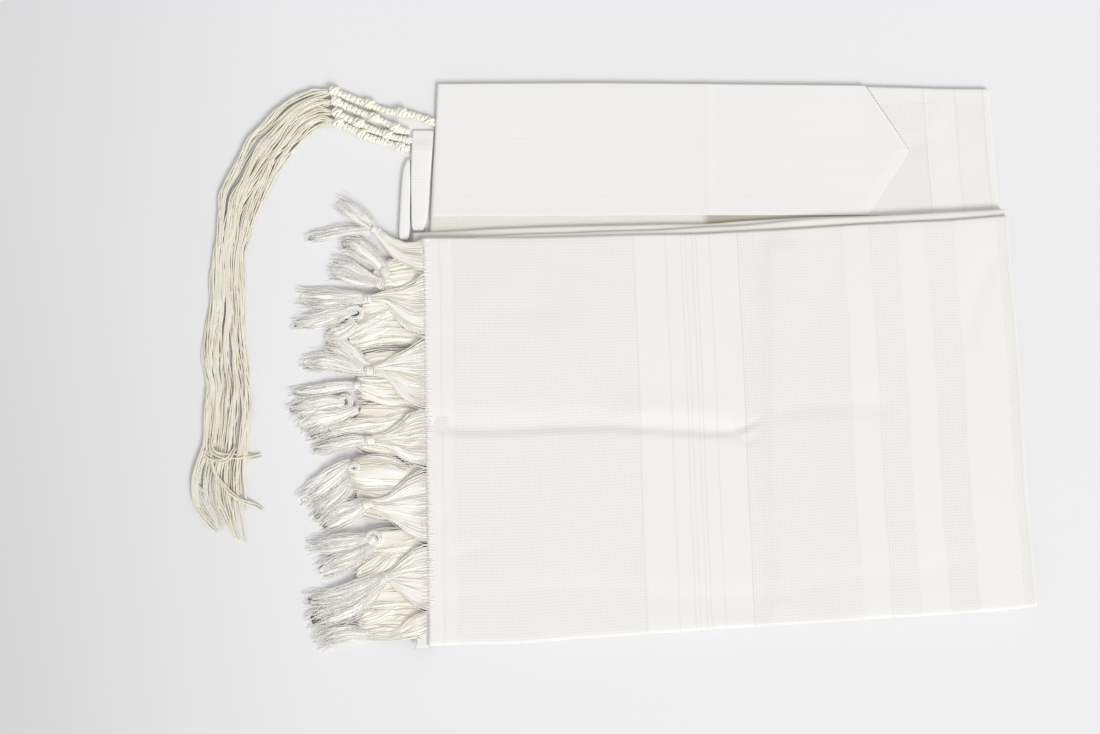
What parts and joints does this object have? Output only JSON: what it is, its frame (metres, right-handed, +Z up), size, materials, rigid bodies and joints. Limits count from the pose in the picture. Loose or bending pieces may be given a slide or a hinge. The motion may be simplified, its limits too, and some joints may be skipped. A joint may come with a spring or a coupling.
{
  "type": "folded tallit prayer shawl",
  "caption": "Fringed prayer shawl folded flat into a rectangle, with a pointed neckband on the back panel, knotted fringe at one edge and wound corner tassels lying beside it.",
  "frame": {"origin": "centre of the underside of the folded cloth and its fringe, on the surface it lies on; the corner tassels' cords aren't counted", "axes": "+X along the neckband to the folded side away from the fringe, +Y from the front panel to the neckband's upper edge, +Z up from the surface"},
  "size_m": [0.6685, 0.4567, 0.0159],
  "materials": {
    "cloth": "off-white wool, open basket weave with smooth self-coloured satin stripes",
    "neckband": "smooth white cotton satin with fine lengthwise ribs",
    "fringe": "soft twisted wool yarn, matt",
    "tassel": "cream twisted wool cord, matt"
  },
  "bodies": {
    "root": {"hidden_layers": "cloth", "front_panel": "cloth", "upper_panel": "cloth", "fold_loop_front": "cloth", "fold_loop_back": "cloth", "neckband": "neckband", "corner_fold_upper": "neckband", "corner_fold_lower": "neckband", "fringe_tassel_1": "fringe", "fringe_tassel_2": "fringe", "fringe_tassel_3": "fringe", "fringe_tassel_4": "fringe", "fringe_tassel_5": "fringe", "fringe_tassel_6": "fringe", "fringe_tassel_7": "fringe", "fringe_tassel_8": "fringe", "corner_tassel_1": "tassel", "corner_tassel_2": "tassel", "corner_tassel_3": "tassel", "corner_tassel_4": "tassel", "corner_tassel_strands": "tassel"}
  },
  "joints": []
}
